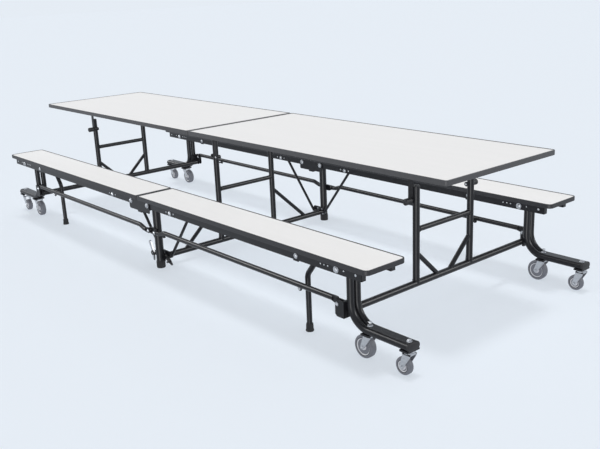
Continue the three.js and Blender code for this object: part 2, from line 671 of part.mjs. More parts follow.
// A wheel turned about Y: a hub that stands out a little, plain sides and a chamfered tread
function wheel(x, centre, radius, width) {
  const bore = boreFor(AXLE, WHEEL_SIDES);
  const half = width / 2;
  const hub = half + FORK_SIDE_GAP - SIDE_CLEARANCE;
  const profile = [
    [bore, -hub],
    [bore + HUB_WALL, -hub],
    [radius - TREAD_CHAMFER, -half],
    [radius, -half + TREAD_CHAMFER],
    [radius, half - TREAD_CHAMFER],
    [radius - TREAD_CHAMFER, half],
    [bore + HUB_WALL, hub],
    [bore, hub],
    [bore, -hub],
  ].map(([r, y]) => new THREE.Vector2(r, y));
  return new THREE.LatheGeometry(profile, WHEEL_SIDES).translate(x, centre, radius);
}

function addEnd(group, end, sideName) {
  addMesh(group, `${end}_end_frame`, endFrame(), steel);
  for (const out of [-1, 1]) {
    const place = `${sideName(out)}_${end}`;
    const centre = out * BENCH_CENTRE;
    addMesh(group, `${place}_swoop`, swoop(centre, out), steel);
    addMesh(group, `${place}_swivel_fork`, swivelFork(centre), zinc);
    addMesh(group, `${place}_fixed_fork`, fixedFork(centre), zinc);
    const fixed = wheel(FIXED_CASTER_X - FIXED_TRAIL, centre, FIXED_WHEEL_RADIUS, FIXED_WHEEL_WIDTH);
    addMesh(group, `${place}_fixed_wheel`, fixed, tread);
    const swivel = wheel(SWIVEL_CASTER_X - SWIVEL_TRAIL, centre, SWIVEL_WHEEL_RADIUS, SWIVEL_WHEEL_WIDTH);
    addMesh(group, `${place}_swivel_wheel`, swivel, tread);
  }
}

// The catch on the centre frame for the foot pins of the two lock braces on one side
function catchPlate(out) {
  const y0 = out * (BENCH_CENTRE - CATCH_INSET);
  const y1 = y0 + out * CATCH_THICKNESS;
  const seat = BRACE_FOOT_HEIGHT + BRACE_FOOT_RADIUS + CATCH_GAP;
  const tip = BRACE_FOOT_X + CATCH_OVERHANG;
  const prong = BRACE_FOOT_X - BRACE_FOOT_RADIUS - 2 * CATCH_GAP;
  const pieces = [block(-tip, tip, y0, y1, seat, seat + CATCH_HEIGHT)];
  for (const side of [-1, 1]) {
    const x0 = side * (prong - CATCH_PRONG);
    pieces.push(block(x0, side * prong, y0, y1, BRACE_FOOT_HEIGHT - CATCH_PRONG, seat + CATCH_GAP));
  }
  return pieces;
}

function centreFrame() {
  const reach = BENCH_CENTRE - LEG_RADIUS - SEAT_GAP;
  const pieces = postFrame(
    0, CENTRE_TUBE_HEIGHT, reach, CENTRE_POST_Y, CENTRE_POST_TOP,
    CENTRE_RAIL_HEIGHT, CENTRE_STRUT_TOP, CENTRE_STRUT_FOOT_Y,
  );
  const head = TABLE_PIVOT_CENTRE;
  for (const side of [-1, 1]) {
    const y = side * CENTRE_POST_Y;
    const z0 = TABLE_PIVOT_HEIGHT - HEAD_HALF_HEIGHT;
    pieces.push(block(-head, head, y - HEAD_HALF_WIDTH, y + HEAD_HALF_WIDTH, z0, z0 + 2 * HEAD_HALF_HEIGHT));
    for (const half of [-1, 1]) pieces.push(...strapPin(half * head, y, -half, HEAD_HALF_WIDTH));
    pieces.push(...catchPlate(side));
  }
  return weld(pieces);
}

// The outline of a saddle plate: round about the bench pivots, so that the boards clear it as they fold
function saddleOutline() {
  const bottom = BENCH_PIVOT_HEIGHT - SADDLE_PLATE_DROP;
  const half = BENCH_PIVOT_CENTRE + SADDLE_NOSE;
  const lift = Math.asin(SADDLE_PLATE_RISE / SADDLE_NOSE);
  const right = [[half - SADDLE_CORNER, bottom], [half, bottom + SADDLE_CORNER]];
  for (const angle of [0, lift / 2, lift]) {
    const x = BENCH_PIVOT_CENTRE + SADDLE_NOSE * Math.cos(angle);
    right.push([x, BENCH_PIVOT_HEIGHT + SADDLE_NOSE * Math.sin(angle)]);
  }
  const left = right.map(([x, z]) => [-x, z]).reverse();
  return [...right, ...left];
}

// The saddle on a centre leg: a cross bar with a plate outside each bench rail and studs into the rails
function saddle(centre) {
  const plateFace = RAIL_OUTER_FACE + SIDE_CLEARANCE;
  const plateOuter = plateFace + SADDLE_PLATE;
  const z0 = LEG_TOP - SADDLE_DEPTH;
  const half = SADDLE_WIDTH / 2;
  const pieces = [block(-half, half, centre - plateOuter, centre + plateOuter, z0, LEG_TOP)];
  for (const side of [-1, 1]) {
    const face = centre + side * plateFace;
    const outer = centre + side * plateOuter;
    const studEnd = centre + side * (RAIL_INNER_FACE + SIDE_CLEARANCE);
    pieces.push(plate(saddleOutline(), face, outer));
    for (const x of [-BENCH_PIVOT_CENTRE, BENCH_PIVOT_CENTRE]) {
      pieces.push(crossPin(x, BENCH_PIVOT_HEIGHT, studEnd, outer + side * PIN_STAND_OUT, PIVOT_BOLT));
    }
  }
  return pieces;
}

// The plate on a centre leg that carries the inner eyes of the two rods
function rodPlate(centre, out) {
  const face = centre + out * (ROD_OFFSET - ROD_EYE_WIDTH / 2 - SIDE_CLEARANCE);
  const back = face - out * ROD_PLATE_THICKNESS;
  const studEnd = centre + out * (ROD_OFFSET + ROD_EYE_WIDTH / 2 + PIN_STAND_OUT);
  const z0 = ROD_PIVOT_HEIGHT - ROD_PLATE_HALF_HEIGHT;
  const z1 = ROD_PIVOT_HEIGHT + ROD_PLATE_HALF_HEIGHT;
  const pieces = [block(-ROD_PLATE_HALF_LENGTH, ROD_PLATE_HALF_LENGTH, back, face, z0, z1)];
  for (const x of [-ROD_PIVOT_CENTRE, ROD_PIVOT_CENTRE]) {
    pieces.push(crossPin(x, ROD_PIVOT_HEIGHT, back, studEnd, ROD_PIN));
  }
  return pieces;
}

function centreLeg(out) {
  const centre = out * BENCH_CENTRE;
  return [
    bar(point(0, centre, 0), point(0, centre, LEG_TOP - 1), LEG_RADIUS),
    bar(point(0, centre, 0), point(0, centre, LEG_FOOT_HEIGHT), LEG_FOOT_RADIUS),
    ...saddle(centre),
    ...rodPlate(centre, out),
  ];
}

// The near leg's lug and the pin that the release lever turns on
const lugFace = -BENCH_CENTRE - LUG_OFFSET - LUG_THICKNESS;
const leverFace = lugFace - SEAT_GAP - LEVER_THICKNESS;

function leverLug() {
  const z = LEVER_PIVOT_HEIGHT;
  const reach = LEVER_PIVOT_X + LUG_HALF_HEIGHT;
  const back = lugFace + LUG_THICKNESS;
  return [
    block(-reach, 0, lugFace, back, z - LUG_HALF_HEIGHT, z + LUG_HALF_HEIGHT),
    crossPin(-LEVER_PIVOT_X, z, back, leverFace - PIN_STAND_OUT, ROD_PIN),
  ];
}

function releaseLever() {
  const pivot = new THREE.Vector2(-LEVER_PIVOT_X, LEVER_PIVOT_HEIGHT);
  const tip = new THREE.Vector2(-LEVER_TIP_X, LEVER_PIVOT_HEIGHT + LEVER_RISE);
  const along = tip.clone().sub(pivot).setLength(LEVER_WIDTH / 2);
  const across = new THREE.Vector2(along.y, -along.x);
  const start = pivot.clone().sub(along);
  const end = tip.clone().add(along);
  const outline = [start.clone().add(across), end.clone().add(across), end.sub(across), start.sub(across)];
  const strip = plate(outline.map((corner) => corner.toArray()), leverFace, leverFace + LEVER_THICKNESS);
  return weld([strip], [crossPin(pivot.x, pivot.y, leverFace - LEVER_WIDTH, lugFace, ROD_HOLE)]);
}

const table = new THREE.Group();
for (const [end, turn] of [["right", 0], ["left", Math.PI]]) {
  const half = new THREE.Group();
  half.rotation.z = turn;
  const sideName = (out) => (out * Math.cos(turn) < 0 ? "near" : "far");
  addTableHalf(half, end);
  for (const out of [-1, 1]) addBenchHalf(half, `${sideName(out)}_${end}`, out);
  addEnd(half, end, sideName);
  table.add(half);
}
addMesh(table, "centre_frame", centreFrame(), steel);
addMesh(table, "near_centre_leg", weld([...centreLeg(-1), ...leverLug()]), steel);
addMesh(table, "far_centre_leg", weld(centreLeg(1)), steel);
addMesh(table, "release_lever", releaseLever(), zinc);

export default table;
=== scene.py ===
"""A folding cafeteria table with two benches, dressed over its CAD frame."""
import bmesh
import bpy
import math
from mathutils import Matrix, Vector

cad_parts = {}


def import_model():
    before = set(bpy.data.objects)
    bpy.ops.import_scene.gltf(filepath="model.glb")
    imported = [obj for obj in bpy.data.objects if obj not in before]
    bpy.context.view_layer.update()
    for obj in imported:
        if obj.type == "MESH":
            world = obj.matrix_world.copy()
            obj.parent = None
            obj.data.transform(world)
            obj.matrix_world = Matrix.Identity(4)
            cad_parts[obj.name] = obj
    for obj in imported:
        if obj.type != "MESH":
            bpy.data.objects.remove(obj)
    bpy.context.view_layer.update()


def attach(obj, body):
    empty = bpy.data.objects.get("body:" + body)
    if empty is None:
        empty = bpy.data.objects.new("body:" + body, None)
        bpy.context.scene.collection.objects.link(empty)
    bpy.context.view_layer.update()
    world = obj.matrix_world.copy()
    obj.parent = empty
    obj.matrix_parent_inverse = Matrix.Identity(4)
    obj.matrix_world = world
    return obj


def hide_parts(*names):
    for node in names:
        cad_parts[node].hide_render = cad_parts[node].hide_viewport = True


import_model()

# Sizes are in millimetres, as the CAD has them. A pair in an outline is x and z at the right end, and a pair
# in a turned profile is a radius and the distance along the axis. In the functions, s is -1 at the left end
# and 1 at the right, and o is -1 on the near side and 1 on the far side.
STRAP = 4
BETWEEN_RAILS = 70.5
PIN_R = 5
PIVOT_PIN_R = 6
SLEEVE_R = 11

# Boards and their edge mouldings
TABLE = dict(length=3658, width=762, top=737, board=22, corner=16)
BENCH = dict(length=3474, width=229, top=436, board=20, corner=25)
BENCH_Y = 622
SPLIT_HALF = 4
SPLIT_CORNER = 12
CORNER_STEPS = 9
EDGE = 6.5
SPLIT_LIP = 4.5
LIP_FROM = 3
PROUD = 1.4
NOSE = [(1.6, 0.0), (0.7, 0.35), (0.15, 1.6), (0.0, 3.5)]

# Pivots, with x at the centre and x at the ends
BENCH_PIVOT_X = (85, 1548)
BENCH_PIVOT_Z = 395
ROD_PIVOT_X = (32, 1495)
ROD_PIVOT_Z = 218
TABLE_PIVOT_X = (30, 1493)
TABLE_PIVOT_Z = 565

# Rails and hinge straps under the table
HINGE_RAIL_Y = (183, 208)
HINGE_RAIL_DEPTH = 25
UNDER_BOARD = 0.3
HINGE_R = 14
HINGE_GAP = 16.6
HINGE_FLANGE = 30
HINGE_RIVET = 24
BOSS = (3, 42)
BOSS_R = 15
BOSS_LIP = 3
TIE_X = (620, 980)
TIE_HALF = 20
TIE = 5
TABLE_TIE_Y = 195
BENCH_TIE_Y = 83

# Bench rails and their fasteners
RAIL_Y = (71, 96)
RAIL_Z = (377.7, 415.7)
RAIL_X = (60, 1691)
RAIL_PLUG = (-1, 1.5)
RAIL_PLUG_IN = 2
RAIL_BOLT_R = 8.5
RIVET_R = 4.5
SMALL_RIVET_R = 3.6
LARGE_RIVET_R = 5.5
RAIL_PIN_Y = 80
BRACE_BOLT_Z = 392
BRACE_RIVETS = (-34, 34)
BRACE_RIVET_Z = 394
PIVOT_RIVETS = (-92, -70, -48, 44)
PIVOT_RIVET_Z = 399
END_RIVET = 32
END_RIVET_Z = 398
LEG_LUG = [(-30, 392), (-16, 372), (16, 372), (30, 392)]
LUG_IN = 0.2

# Rods, drop legs and lock braces
ROD_Y = 658
ROD_R = 12.7
ROD_RISE = 16
ROD_BEND = 60
ROD_START = (28, 45, 95)
ROD_END = 30
INNER_FLAT = 36
OUTER_FLAT = (38, 8)
FLAT_R = 14
FLAT_HALF = 11.5
FLAT = 6.2
COLLAR = [(11, -3.2), (12, -2.4), (12, 2.4), (11, 3.2)]
DROP_Y = 610
DROP_R = 12.7
DROP_LEAN = 53
DROP_FOOT_Z = 7.5
DROP_SLEEVE_R = 14
DROP_PIN = 6
DROP_NUT = 4
DROP_LEG = {"near": dict(x=1248, crook=[(53, 337), (0, 270)], bend=50),
            "far": dict(x=1186, crook=[(0, BENCH_PIVOT_Z)], bend=30)}
FERRULE = [(14.5, 0), (18.2, 1), (19, 3), (18.7, 8), (17.4, 12), (16.4, 33), (15.6, 37.2), (14.4, 38),
           (13, 38), (12.9, 9)]
BRACE_TOP = (305, 386)
BRACE_FOOT = (46, 62)
BRACE_Y = 578
BRACE_R = 8
BRACE_FOOT_R = 7
CATCH_Y = (588, 594)
CATCH_PAST = 1

# Swept supports
SWOOP_R = 16
SWOOP_HALF = 19
SWOOP_BEND = 100
SWOOP_SLEEVE_R = 17
FOOT_Z = 134
FOOT_END = 1869
FOOT_FACE = 15.6
FOOT_WEB_HALF = 17
FOOT_WEB_RISE = 9
FOOT_PLUG_R = SWOOP_R + 0.8
FOOT_PLUG = [(-4, 1.0), (3, 1.0), (5.2, 0.97), (6.2, 0.86)]
BRACKET_Z = (162, ROD_PIVOT_Z + 19)
BRACKET_HALF = 11
BRACKET_GAP = 7.1
BRACKET_CORNER = 6
BRACKET_CLEAR = 0.3
BRACKET_INTO = 3
BRACKET_HEEL = (2, 10)
CASTER_PLATE_HALF = (22, 35)
CASTER_PLATE_Z = (112, 119.8)

# Casters
CASTER_TOP = 111.7
SWIVEL_RACE = 10
FIXED = dict(stem=1639, trail=28, radius=51, width=32, top=CASTER_TOP, foot_bolt=17)
SWIVEL = dict(stem=1851, trail=25, radius=38, width=28, top=CASTER_TOP - SWIVEL_RACE, foot_bolt=7)
FORK_HALF = 20
FORK_GAP = 2.5
FORK_EYE = 10
FORK_HEAD = 6
FORK_FRONT = [(-4, 16), (0, 7), (0, 0)]
FORK_BACK = 9
RACE = [(22, -1), (23, 1), (23, 4.5), (20, 5), (20, 6), (22.5, 6.5), (22.5, 9), (21.5, SWIVEL_RACE)]
TREAD_DEPTH = 12.5

# End frames and centre frame
LEG_R = 22.2
LEG_GAP = 0.3
POST_R = 16
CROSS_R = 12.7
STRUT_R = 11
WELD_RISE = 0.5
POST_CAP = [(13, -1), (15.6, 0), (15.8, 2), (14, 4.5), (9, 5.5)]
END_FRAME_X = 1508
END_FRAME = dict(tube_z=178, reach=BENCH_Y + SWOOP_HALF, post_y=191, post_top=630, rail_z=431,
                 strut_top=325, strut_foot=36)
CENTRE_FRAME = dict(tube_z=60, reach=BENCH_Y - LEG_R - LEG_GAP, post_y=200, post_top=675, rail_z=369,
                    strut_top=296, strut_foot=459)
TABLE_PIN_BACK = 17
TABLE_PIN_END = 22
TABLE_NUT = 20.8
HINGE_HEAD = (8, 9)
CATCH_FINGER = (31, 37, 56)
CATCH_HALF = 62
CATCH_Z = (70, 96)
CATCH_CORNER = 8
CATCH_BOLT = (20, 85)

# Centre legs and release lever
LEG_LOW = 20
LEG_TOP = 363
LEG_FOOT = [(19.5, 0), (23.6, 1.2), (24.8, 4), (25, 34), (24.4, 38), (22.6, 40)]
SADDLE_HALF = (20, 100)
SADDLE_Z = (344, 364)
STRAP_FACE = 96.6
STRAP_PIN_Y = 71.6
# corners of the bench strap: x, z and radius
STRAP_LOW = (96, 360, 8)
STRAP_HIGH = (85, 395, 19)
ROD_PLATE_FACE = 28.9
ROD_PLATE = 10
ROD_PLATE_R = 18.5
ROD_PIN = 15
ROD_NUT = 14.3
LEVER_PIVOT = (-42, 82)
LEVER_END = (-70, 140)
LEVER_R = 9
LEVER = 8
LEVER_GAP = 12.3
LEVER_TAIL = [(-51, 80), (-47, 40), (-37, 38), (-33, 80)]
LEVER_TAIL_IN = 0.4
LEVER_ROLLER = [(6, -7), (13, -7), (14.5, -8.4), (14.5, -12), (13, -13.4), (6, -13.4)]
LUG_R = 12
LUG_Y = (6, 12)
LUG_PIN_Y = (8, 20)
LUG_NUT = 17.4
LATCH = [(10, 72), (10, 44), (64, 40), (98, 30), (104, 38), (84, 62), (60, 72)]
LATCH_Y = (10, 15)
LATCH_ROLLER = (73, 55)
LATCH_ROLLER_Y = (12, -4)
LATCH_ROLLER_R = 13
GUARD_X = (-38, -15)
GUARD_Z = (96, 212)
GUARD_HALF = 4
CLIP_ARM = (15, 64, 3, 186, 192)
CLIP_HEAD = (53, 66, 6, 186, 206)

# Sockets of a colour mix, and numbers that the materials and shapes share
MIX_DARK, MIX_LIGHT, MIXED = 6, 7, 2
BUMP_DEPTH = 0.0004
SHARP_SHADE = 34
BEND_STEP = 7
STRAIGHT = 1e-6
TO_METRES = 0.001


# Materials, all on object coordinates
def surface(name, dark, light, rough, grain, metallic=0.0, bump=0.0, bump_scale=600.0,
            stretch=(1, 1, 1), specular=0.5):
    """A principled surface whose colour and roughness vary with noise, with a fine bump."""
    made = bpy.data.materials.new(name)
    made.use_nodes = True
    nodes, links = made.node_tree.nodes, made.node_tree.links
    shader = nodes["Principled BSDF"]
    place = nodes.new("ShaderNodeTexCoord")
    spread = nodes.new("ShaderNodeMapping")
    spread.inputs["Scale"].default_value = stretch
    links.new(place.outputs["Object"], spread.inputs["Vector"])
    noise = nodes.new("ShaderNodeTexNoise")
    noise.inputs["Scale"].default_value = grain
    noise.inputs["Detail"].default_value = 5.0
    links.new(spread.outputs["Vector"], noise.inputs["Vector"])
    tint = nodes.new("ShaderNodeMix")
    tint.data_type = "RGBA"
    tint.inputs[MIX_DARK].default_value = (*dark, 1.0)
    tint.inputs[MIX_LIGHT].default_value = (*light, 1.0)
    links.new(noise.outputs["Fac"], tint.inputs[0])
    links.new(tint.outputs[MIXED], shader.inputs["Base Color"])
    gloss = nodes.new("ShaderNodeMapRange")
    gloss.inputs["To Min"].default_value = rough[0]
    gloss.inputs["To Max"].default_value = rough[1]
    links.new(noise.outputs["Fac"], gloss.inputs["Value"])
    links.new(gloss.outputs["Result"], shader.inputs["Roughness"])
    shader.inputs["Metallic"].default_value = metallic
    shader.inputs["Specular IOR Level"].default_value = specular
    if bump:
        fine = nodes.new("ShaderNodeTexNoise")
        fine.inputs["Scale"].default_value = bump_scale
        fine.inputs["Detail"].default_value = 2.0
        links.new(place.outputs["Object"], fine.inputs["Vector"])
        rise = nodes.new("ShaderNodeBump")
        rise.inputs["Strength"].default_value = bump
        rise.inputs["Distance"].default_value = BUMP_DEPTH
        links.new(fine.outputs["Fac"], rise.inputs["Height"])
        links.new(rise.outputs["Normal"], shader.inputs["Normal"])
    return made


STEEL = surface("black_powder_coat", (0.004, 0.004, 0.005), (0.008, 0.008, 0.01), rough=(0.3, 0.36), grain=60,
                bump=0.05, bump_scale=900, specular=0.28)
LAMINATE = surface("white_laminate", (0.812, 0.804, 0.794), (0.86, 0.85, 0.84), rough=(0.4, 0.55), grain=14,
                   bump=0.05, bump_scale=1500, stretch=(0.12, 1.6, 1.0), specular=0.3)
# One edge moulding material in two copies. This lighter copy on the table carries painted reflection.
TABLE_BAND_PAINTED_REFLECTION = surface("edge_moulding_painted_reflection", (0.042, 0.042, 0.045), (0.058, 0.058, 0.062), rough=(0.4, 0.5),
                     grain=90, bump=0.1, bump_scale=700, specular=0.35)
# The darker copy of the same moulding on the benches carries painted shade.
BENCH_BAND_PAINTED_SHADE = surface("edge_moulding_painted_shade", (0.014, 0.014, 0.016), (0.023, 0.023, 0.026), rough=(0.4, 0.5),
                     grain=90, bump=0.1, bump_scale=700, specular=0.35)
ZINC = surface("bright_zinc", (0.38, 0.39, 0.41), (0.58, 0.59, 0.61), rough=(0.22, 0.36), grain=120,
               metallic=1.0, bump=0.06, bump_scale=500)
RUBBER = surface("black_rubber", (0.012, 0.012, 0.013), (0.022, 0.022, 0.023), rough=(0.7, 0.88), grain=80,
                 bump=0.25, bump_scale=800, specular=0.3)
TREAD = surface("grey_tread", (0.08, 0.084, 0.1), (0.13, 0.135, 0.155), rough=(0.5, 0.65), grain=70,
                bump=0.12, bump_scale=600)
CORE = surface("grey_wheel_core", (0.4, 0.405, 0.43), (0.5, 0.505, 0.53), rough=(0.38, 0.5), grain=60,
               bump=0.06)
CAP = surface("black_end_plug", (0.012, 0.012, 0.013), (0.02, 0.02, 0.022), rough=(0.45, 0.6), grain=70,
              bump=0.1, specular=0.3)


# Points of shapes
def arc(cx, cz, radius, start, end, steps=10):
    turn = [math.radians(start + (end - start) * k / steps) for k in range(steps + 1)]
    return [(cx + radius * math.cos(a), cz + radius * math.sin(a)) for a in turn]


def mirrored(points, s):
    """Outline points of the right end, turned over for the left."""
    return [(s * x, z) for x, z in points]


def upright(points, y):
    """Places in an XZ plane."""
    return [(x, y, z) for x, z in points]


def turn_to(across, up, along, place):
    """The matrix that takes the axes to three directions and the origin to a place."""
    matrix = Matrix((across, up, along)).transposed().to_4x4()
    matrix.translation = place
    return matrix


def route(corners, bend):
    """Places and directions along straight runs joined by bends of one radius."""
    stops = [(corners[0], (corners[1] - corners[0]).normalized())]
    for before, corner, after in zip(corners, corners[1:], corners[2:]):
        into = (corner - before).normalized()
        out = (after - corner).normalized()
        angle = into.angle(out)
        start = corner - into * bend * math.tan(angle / 2)
        side = (out - into * out.dot(into)).normalized()
        steps = max(4, round(math.degrees(angle) / BEND_STEP))
        for k in range(steps + 1):
            a = angle * k / steps
            place = start + into * bend * math.sin(a) + side * bend * (1 - math.cos(a))
            stops.append((place, into * math.cos(a) + side * math.sin(a)))
    stops.append((corners[-1], (corners[-1] - corners[-2]).normalized()))
    return stops


# Shapes made of them
def loop(shape, points):
    """Adds a closed loop of edges."""
    verts = [shape.verts.new(p) for p in points]
    return [shape.edges.new(pair) for pair in zip(verts, verts[1:] + verts[:1])]


def circle(shape, radius, sides, place):
    """Adds a circle of edges."""
    made = bmesh.ops.create_circle(shape, cap_ends=False, radius=radius, segments=sides, matrix=place)
    return list(dict.fromkeys(edge for vert in made["verts"] for edge in vert.link_edges))


def bridge(shape, loops, closed=False):
    """Joins loops in a row, and closes the row with flat ends or back to its first loop."""
    following = loops[1:] + loops[:1] if closed else loops[1:]
    for a, b in zip(loops, following):
        bmesh.ops.bridge_loops(shape, edges=a + b)
    if not closed:
        bmesh.ops.holes_fill(shape, edges=loops[0] + loops[-1])
    return shape


def skin(rings, closed=False):
    """A surface through rings of points."""
    shape = bmesh.new()
    return bridge(shape, [loop(shape, ring) for ring in rings], closed)


def tube(corners, radius, bend=0.0, sides=28, lip=0.8):
    """A round tube in one plane, with its end edges eased."""
    stops = route([Vector(c) for c in corners], bend)
    start, first = stops[0]
    end, last = stops[-1]
    normal = Vector((0, 0, 0))
    for _, along in stops[1:]:
        normal += first.cross(along)
    if normal.length < STRAIGHT:
        normal = first.orthogonal()
    normal.normalize()
    sizes = [(start, first, radius - lip), (start + first * lip, first, radius)]
    sizes += [(place, along, radius) for place, along in stops[1:-1]]
    sizes += [(end - last * lip, last, radius), (end, last, radius - lip)]
    shape = bmesh.new()
    circles = []
    for place, along, size in sizes:
        circles.append(circle(shape, size, sides, turn_to(normal, along.cross(normal), along, place)))
    return bridge(shape, circles)


def bar(x, z, y0, y1, radius, **more):
    """A round bar across the table."""
    return tube([(x, y0, z), (x, y1, z)], radius, **more)


def sleeve(x, z, centre, radius, **more):
    """A sleeve between the two rails of a bench."""
    return bar(x, z, centre - BETWEEN_RAILS, centre + BETWEEN_RAILS, radius, **more)


def turned(profile, centre, axis, sides=36, closed=False):
    """A profile spun about its axis: an open one gets flat ends, and a closed one makes a ring."""
    shape = bmesh.new()
    verts = [shape.verts.new((radius, 0, along)) for radius, along in profile]
    edges = [shape.edges.new(pair) for pair in zip(verts, verts[1:])]
    if closed:
        edges.append(shape.edges.new((verts[-1], verts[0])))
    bmesh.ops.spin(shape, geom=verts + edges, cent=(0, 0, 0), axis=(0, 0, 1), dvec=(0, 0, 0),
                   angle=2 * math.pi, steps=sides, use_merge=True)
    if not closed:
        bmesh.ops.holes_fill(shape, edges=shape.edges)
    along = Vector(axis).normalized()
    out = along.orthogonal().normalized()
    bmesh.ops.transform(shape, matrix=turn_to(out, along.cross(out), along, centre), verts=shape.verts)
    return shape


def box(x0, x1, y0, y1, z0, z1):
    size = Matrix.Diagonal((abs(x1 - x0), abs(y1 - y0), abs(z1 - z0), 1))
    middle = Matrix.Translation(((x0 + x1) / 2, (y0 + y1) / 2, (z0 + z1) / 2))
    shape = bmesh.new()
    bmesh.ops.create_cube(shape, size=1, matrix=middle @ size)
    return shape


def plate(outline, y0, y1):
    """A flat plate whose outline stands in an XZ plane."""
    shape = bmesh.new()
    face = shape.faces.new([shape.verts.new(p) for p in upright(outline, y0)])
    drawn = bmesh.ops.extrude_face_region(shape, geom=[face])["geom"]
    moved = [item for item in drawn if isinstance(item, bmesh.types.BMVert)]
    bmesh.ops.translate(shape, vec=(0, y1 - y0, 0), verts=moved)
    return shape


class Piece:
    """Gathers shapes and makes one object of them."""

    def __init__(self, name):
        self.name = name
        self.mesh = bmesh.new()
        self.materials = []

    def add(self, shape, material=STEEL):
        if material not in self.materials:
            self.materials.append(material)
        bmesh.ops.recalc_face_normals(shape, faces=shape.faces)
        for face in shape.faces:
            face.material_index = self.materials.index(material)
            face.smooth = True
        carry = bpy.data.meshes.new("carry")
        shape.to_mesh(carry)
        shape.free()
        self.mesh.from_mesh(carry)
        bpy.data.meshes.remove(carry)

    def bolt(self, at, axis, radius, height, washer=True):
        """A zinc hex head, on a washer or without one, standing along an axis from a surface."""
        base = 0.0
        if washer:
            base = 1.6
            disc = [(radius * 1.38, 0.0), (radius * 1.42, 0.5), (radius * 1.38, base)]
            self.add(turned(disc, at, axis), ZINC)
        top = base + height
        head = [(radius * 0.96, base), (radius, base + 0.5), (radius, top - 1.2), (radius * 0.82, top)]
        self.add(turned(head, at, axis, sides=6), ZINC)
        dome = [(radius * 0.55, top - 0.4), (radius * 0.5, top + 1.2), (radius * 0.3, top + 1.8)]
        self.add(turned(dome, at, axis, sides=18), ZINC)

    def rivet(self, at, axis, radius=RIVET_R):
        profile = [(radius, 0.0), (radius * 0.92, 1.0), (radius * 0.6, 2.0), (radius * 0.2, 2.4)]
        self.add(turned(profile, at, axis, sides=18), ZINC)

    def weld(self, at, axis, radius, bead=2.6):
        """A weld bead round a tube where it meets another."""
        profile = arc(radius, 0, bead, 0, 360)[:-1]
        self.add(turned(profile, at, axis, sides=28, closed=True))

    def make(self, body, nodes):
        bmesh.ops.scale(self.mesh, vec=(TO_METRES, TO_METRES, TO_METRES), verts=self.mesh.verts)
        mesh = bpy.data.meshes.new(self.name)
        self.mesh.to_mesh(mesh)
        self.mesh.free()
        for material in self.materials:
            mesh.materials.append(material)
        mesh.set_sharp_from_angle(angle=math.radians(SHARP_SHADE))
        made = bpy.data.objects.new(self.name, mesh)
        bpy.context.scene.collection.objects.link(made)
        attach(made, body)
        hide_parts(*nodes)


# Boards
def board_ring(size, inset, z, s, centre):
    """Points round half a board, in from its edge, and further in along the split."""
    x1 = size["length"] / 2
    half = size["width"] / 2
    outer, inner = size["corner"], SPLIT_CORNER
    x0 = SPLIT_HALF + inner + (SPLIT_LIP if inset > LIP_FROM else 0)
    corners = [(x1 - outer, -half + outer, outer, -90), (x1 - outer, half - outer, outer, 0)]
    corners += [(x0, half - inner, inner, 90), (x0, -half + inner, inner, 180)]
    points = []
    for cx, cy, radius, start in corners:
        points += arc(cx, cy, radius - inset, start, start + 90, CORNER_STEPS)
    return [(s * x, centre + y, z) for x, y in points]


def board(name, body, size, s, centre, moulding):
    """Half a board: its laminate, and the moulding that stands a little proud of it all round."""
    top = size["top"]
    low = top - size["board"]
    core = Piece(f"{name}_laminate")
    levels = [(EDGE - 0.1, low + 0.2), (EDGE - 0.1, top - 0.9), (EDGE + 0.3, top - 0.4)]
    core.add(skin([board_ring(size, inset, z, s, centre) for inset, z in levels]), LAMINATE)
    core.make(body, [f"{name}_board"])
    rim = top + PROUD
    profile = [(EDGE, low + 0.4)] + [(inset, low + z) for inset, z in NOSE]
    profile += [(inset, rim - z) for inset, z in reversed(NOSE)] + [(EDGE - 0.8, rim), (EDGE, rim - 0.5)]
    band = Piece(f"{name}_moulding")
    rings = [board_ring(size, inset, z, s, centre) for inset, z in profile]
    band.add(skin(rings, closed=True), moulding)
    band.make(body, [f"{name}_edge_band"])


def table_half(end, s):
    body = f"{end}_top"
    # The table's moulding is the lighter copy, with painted reflection.
    board(f"{end}_table", body, TABLE, s, 0, TABLE_BAND_PAINTED_REFLECTION)
    top = TABLE["top"] - TABLE["board"] - UNDER_BOARD
    rails = Piece(f"{end}_table_hinge_rails")
    inner, outer = TABLE_PIVOT_X
    z = TABLE_PIVOT_Z
    for side in (-1, 1):
        y0, y1 = (side * y for y in HINGE_RAIL_Y)
        rails.add(box(s * inner, s * outer, y0, y1, top - HINGE_RAIL_DEPTH, top))
        for x, frame_size, out in ((outer, END_FRAME, side), (inner, CENTRE_FRAME, -s)):
            x0, x1 = x - HINGE_R, x + HINGE_R
            y = side * frame_size["post_y"]
            face = y + out * HINGE_GAP
            strap = arc(x, z, HINGE_R, 180, 360) + [(x1, top), (x0, top)]
            rails.add(plate(mirrored(strap, s), face, face + out * STRAP))
            if x == outer:
                boss_y = [face + out * reach for reach in BOSS]
                rails.add(bar(s * x, z, *boss_y, BOSS_R, lip=BOSS_LIP), CAP)
            rails.add(box(s * x0, s * x1, y - HINGE_FLANGE, y + HINGE_FLANGE, top - STRAP, top))
            for dy in (-HINGE_RIVET, HINGE_RIVET):
                rails.rivet((s * x, y + dy, top - STRAP), (0, 0, -1))
    for x in TIE_X:
        rails.add(box(s * (x - TIE_HALF), s * (x + TIE_HALF), -TABLE_TIE_Y, TABLE_TIE_Y, top - TIE, top))
    rails.make(body, [f"{end}_table_rails"])


